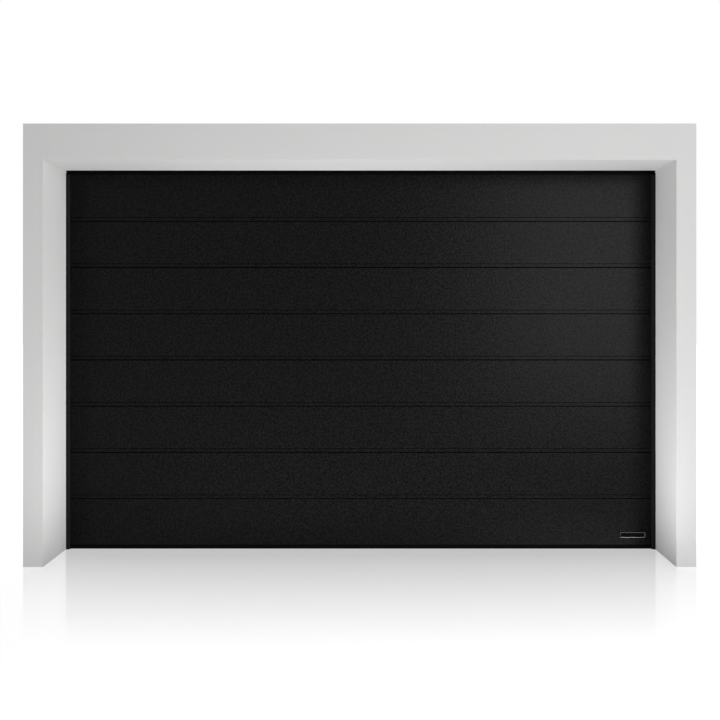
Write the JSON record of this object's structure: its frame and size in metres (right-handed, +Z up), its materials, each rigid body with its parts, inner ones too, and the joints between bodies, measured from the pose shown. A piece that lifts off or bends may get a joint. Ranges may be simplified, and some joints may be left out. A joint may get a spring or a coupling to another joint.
{
  "type": "sectional garage door",
  "caption": "Black overhead garage door of hinged horizontal sections in a pale plastered wall opening, with tracks, torsion springs and cables behind it.",
  "frame": {"origin": "on the floor, in the middle of the flat foot of the bottom seal, under the mid-plane of the closed leaf", "axes": "+X to the right seen from outside, +Y into the garage, +Z up; the outside is -Y"},
  "size_m": [3.72, 2.9215, 2.45],
  "materials": {
    "plaster": "matte",
    "leaf_skin": "satin",
    "cap_steel": "satin",
    "edge_aluminium": "satin",
    "seal_rubber": "matte",
    "galvanised_steel": "satin",
    "hinge_steel": "satin",
    "pin_steel": "polished",
    "shaft_steel": "satin",
    "spring_steel": "satin",
    "plug_casting": "satin",
    "drum_casting": "satin",
    "bearing_steel": "polished",
    "cable_steel": "satin",
    "roller_nylon": "matte"
  },
  "bodies": {
    "root": {"pier_left": "plaster", "pier_right": "plaster", "lintel": "plaster", "bottom_section": "leaf_skin", "lower_section": "leaf_skin", "upper_section": "leaf_skin", "top_section": "leaf_skin", "end_caps": "cap_steel", "bottom_rail": "edge_aluminium", "bottom_seal": "seal_rubber", "top_rail": "edge_aluminium", "top_seal": "seal_rubber", "side_seals": "seal_rubber", "side_frame_left": "galvanised_steel", "side_frame_right": "galvanised_steel", "vertical_track_left": "galvanised_steel", "vertical_track_right": "galvanised_steel", "curved_track_left": "galvanised_steel", "curved_track_right": "galvanised_steel", "lower_track_left": "galvanised_steel", "lower_track_right": "galvanised_steel", "upper_track_left": "galvanised_steel", "upper_track_right": "galvanised_steel", "corner_plates": "galvanised_steel", "rear_plates": "galvanised_steel", "cross_bar": "galvanised_steel", "middle_hangers": "galvanised_steel", "rear_hangers": "galvanised_steel", "header_rail": "galvanised_steel", "centre_plate": "galvanised_steel", "end_plates": "galvanised_steel", "hinge_upper_leaves": "hinge_steel", "hinge_lower_leaves": "hinge_steel", "roller_carriers": "hinge_steel", "bottom_brackets": "hinge_steel", "top_brackets": "hinge_steel", "hinge_pins": "pin_steel", "roller_stems": "pin_steel", "roller_wheels": "roller_nylon", "torsion_shaft": "shaft_steel", "torsion_springs": "spring_steel", "spring_plugs": "plug_casting", "cable_drums": "drum_casting", "shaft_bearings": "bearing_steel", "lift_cables": "cable_steel"}
  },
  "joints": []
}
